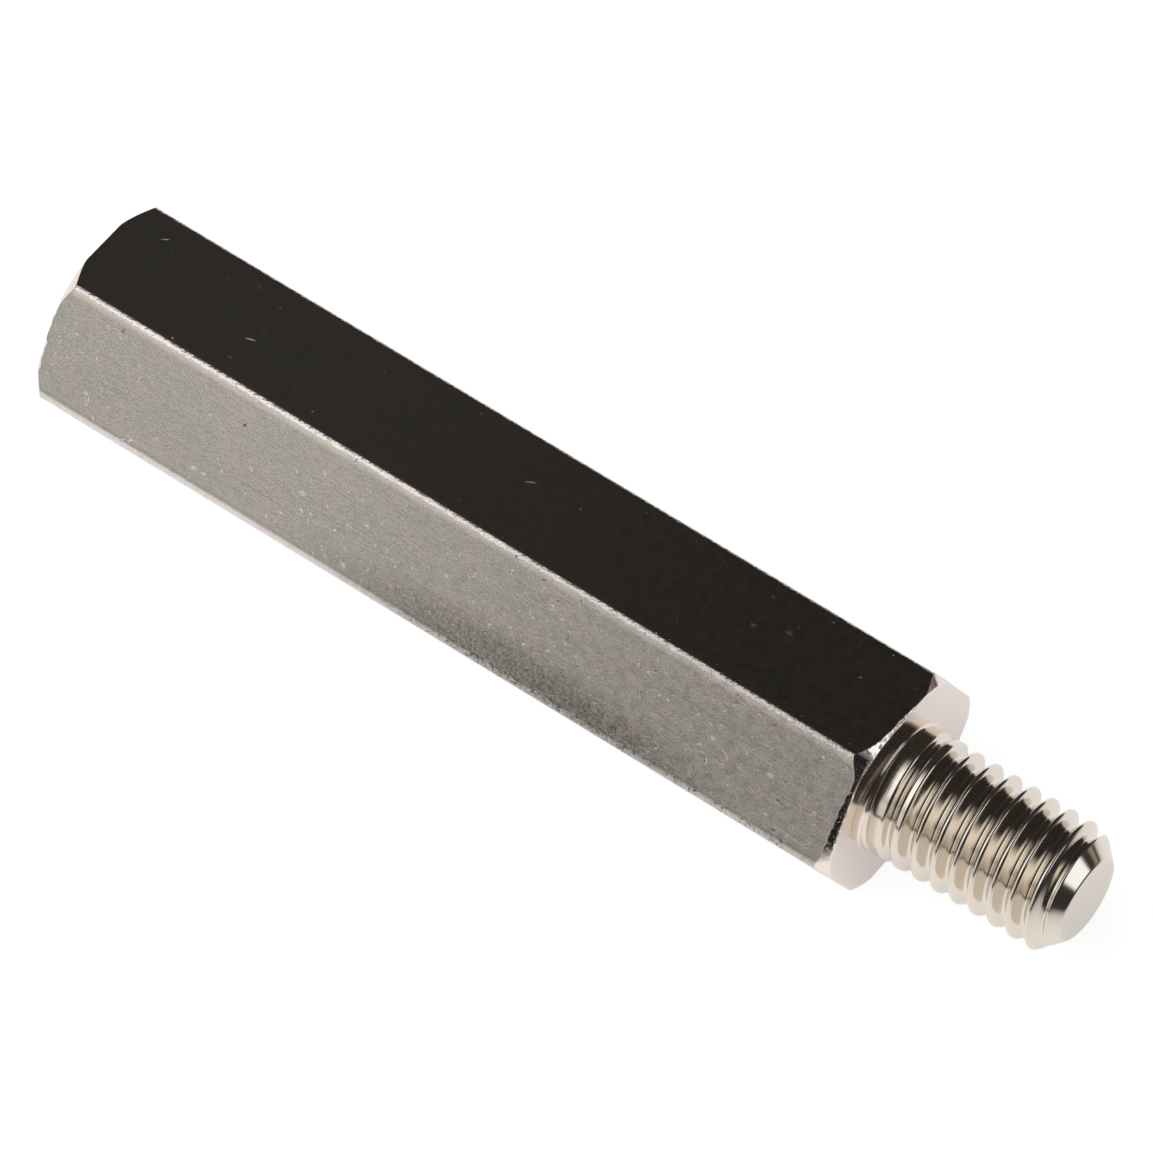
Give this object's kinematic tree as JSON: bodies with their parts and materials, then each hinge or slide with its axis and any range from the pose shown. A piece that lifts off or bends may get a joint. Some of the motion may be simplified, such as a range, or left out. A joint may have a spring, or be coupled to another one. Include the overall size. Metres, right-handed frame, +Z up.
{
  "type": "hex standoff",
  "caption": "Hexagonal standoff turned from one length of bar, with a screw stud on one end and a blind tapped socket in the other, that holds a board or panel off its neighbour.",
  "frame": {"origin": "middle of the part's length, on the surface that its lowest flat lies on", "axes": "+X along the common axis from the socket's mouth to the stud's tip, +Z up from the flat that it lies on"},
  "size_m": [0.043, 0.0092, 0.008],
  "materials": {
    "nickel_plate": "polished"
  },
  "bodies": {
    "root": {"standoff": "nickel_plate"}
  },
  "joints": []
}
